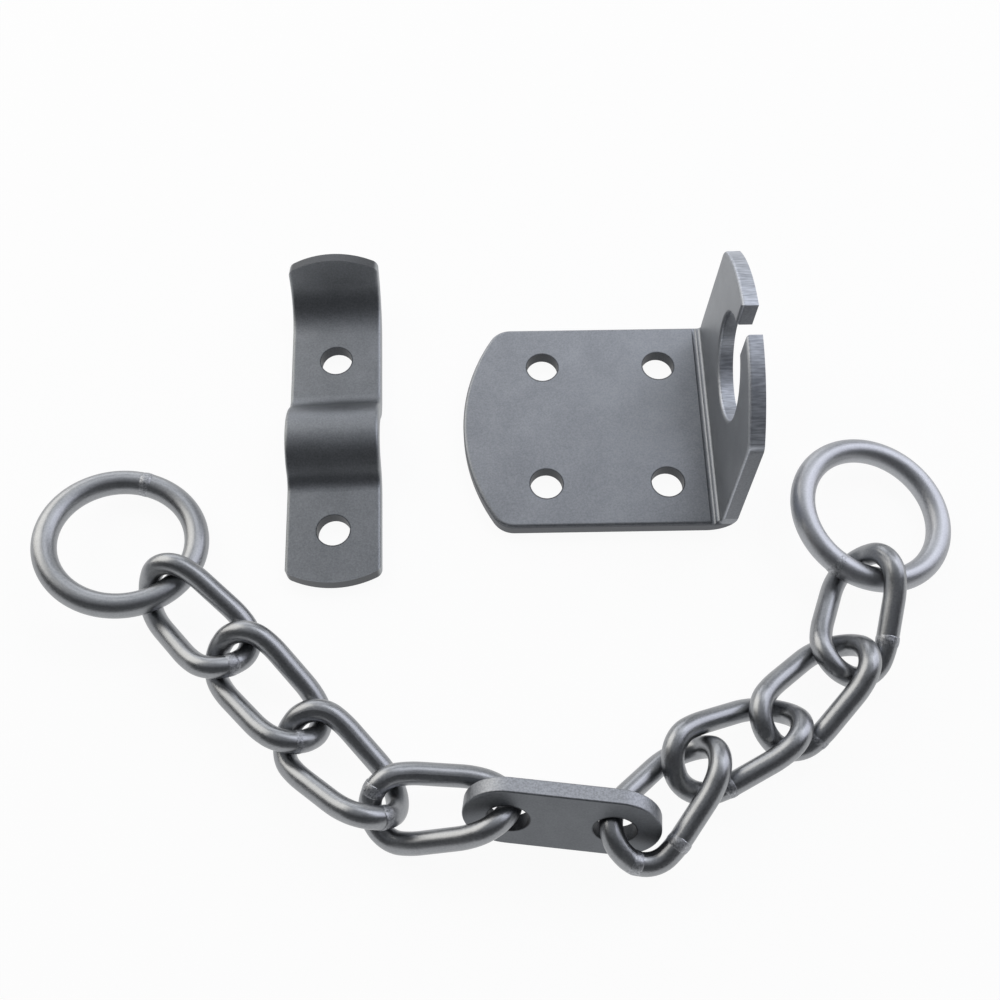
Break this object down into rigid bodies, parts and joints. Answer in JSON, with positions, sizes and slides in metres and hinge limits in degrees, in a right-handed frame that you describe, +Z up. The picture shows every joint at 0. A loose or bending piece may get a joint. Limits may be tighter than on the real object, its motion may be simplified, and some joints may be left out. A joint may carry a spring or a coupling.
{
  "type": "door chain",
  "caption": "Door chain of twisted wire links with a ring at each end and a flat tag in the middle, laid out with its keyhole keeper bracket and its humped staple strap.",
  "frame": {"origin": "middle of the keeper bracket's four screw holes, on its mounting face, which lies on the table", "axes": "+Z up from the table, +X towards the bracket's upright flange, +Y away from the viewer"},
  "size_m": [0.1472, 0.1043, 0.0331],
  "materials": {
    "bracket_sheet": "satin",
    "strap_sheet": "satin",
    "chain_wire": "polished",
    "tag_sheet": "satin"
  },
  "bodies": {
    "base": {"keeper_bracket": "bracket_sheet", "staple_strap": "strap_sheet", "tag_plate": "tag_sheet"},
    "link_1": {"link_1": "chain_wire"},
    "link_2": {"link_2": "chain_wire"},
    "link_3": {"link_3": "chain_wire"},
    "link_4": {"link_4": "chain_wire"},
    "link_5": {"link_5": "chain_wire"},
    "link_6": {"link_6": "chain_wire"},
    "link_7": {"link_7": "chain_wire"},
    "link_8": {"link_8": "chain_wire"},
    "ring_left": {"ring_left": "chain_wire"},
    "ring_right": {"ring_right": "chain_wire"}
  },
  "joints": [
    {"name": "tag_to_link_4", "type": "hinge", "parent": "base", "child": "link_4", "pos_m": [-0.0188, -0.0652, 0.005], "axis": [0, 0, 1], "range_deg": [-3, 30]},
    {"name": "link_4_to_link_3", "type": "hinge", "parent": "link_4", "child": "link_3", "pos_m": [-0.036, -0.0629, 0.005], "axis": [0, 0, -1], "range_deg": [-40, 3]},
    {"name": "link_3_to_link_2", "type": "hinge", "parent": "link_3", "child": "link_2", "pos_m": [-0.0465, -0.0522, 0.005], "axis": [0, 0, 1], "range_deg": [-6, 21]},
    {"name": "link_2_to_link_1", "type": "hinge", "parent": "link_2", "child": "link_1", "pos_m": [-0.0594, -0.0385, 0.005], "axis": [0, 0, -1], "range_deg": [-14, 6]},
    {"name": "link_1_to_ring_left", "type": "hinge", "parent": "link_1", "child": "ring_left", "pos_m": [-0.0681, -0.027, 0.0039], "axis": [0.4602, 0.8878, 0], "range_deg": [0, 85]},
    {"name": "tag_to_link_5", "type": "hinge", "parent": "base", "child": "link_5", "pos_m": [-0.0012, -0.0667, 0.005], "axis": [0, 0, 1], "range_deg": [-29, 3]},
    {"name": "link_5_to_link_6", "type": "hinge", "parent": "link_5", "child": "link_6", "pos_m": [0.0134, -0.0615, 0.005], "axis": [0, 0, -1], "range_deg": [-6, 29]},
    {"name": "link_6_to_link_7", "type": "hinge", "parent": "link_6", "child": "link_7", "pos_m": [0.0244, -0.0531, 0.005], "axis": [0, 0, 1], "range_deg": [-48, 6]},
    {"name": "link_7_to_link_8", "type": "hinge", "parent": "link_7", "child": "link_8", "pos_m": [0.0354, -0.0423, 0.005], "axis": [0, 0, -1], "range_deg": [-3, 55]},
    {"name": "link_8_to_ring_right", "type": "hinge", "parent": "link_8", "child": "ring_right", "pos_m": [0.0433, -0.03, 0.0044], "axis": [0.9951, 0.0993, 0], "range_deg": [0, 100]}
  ]
}
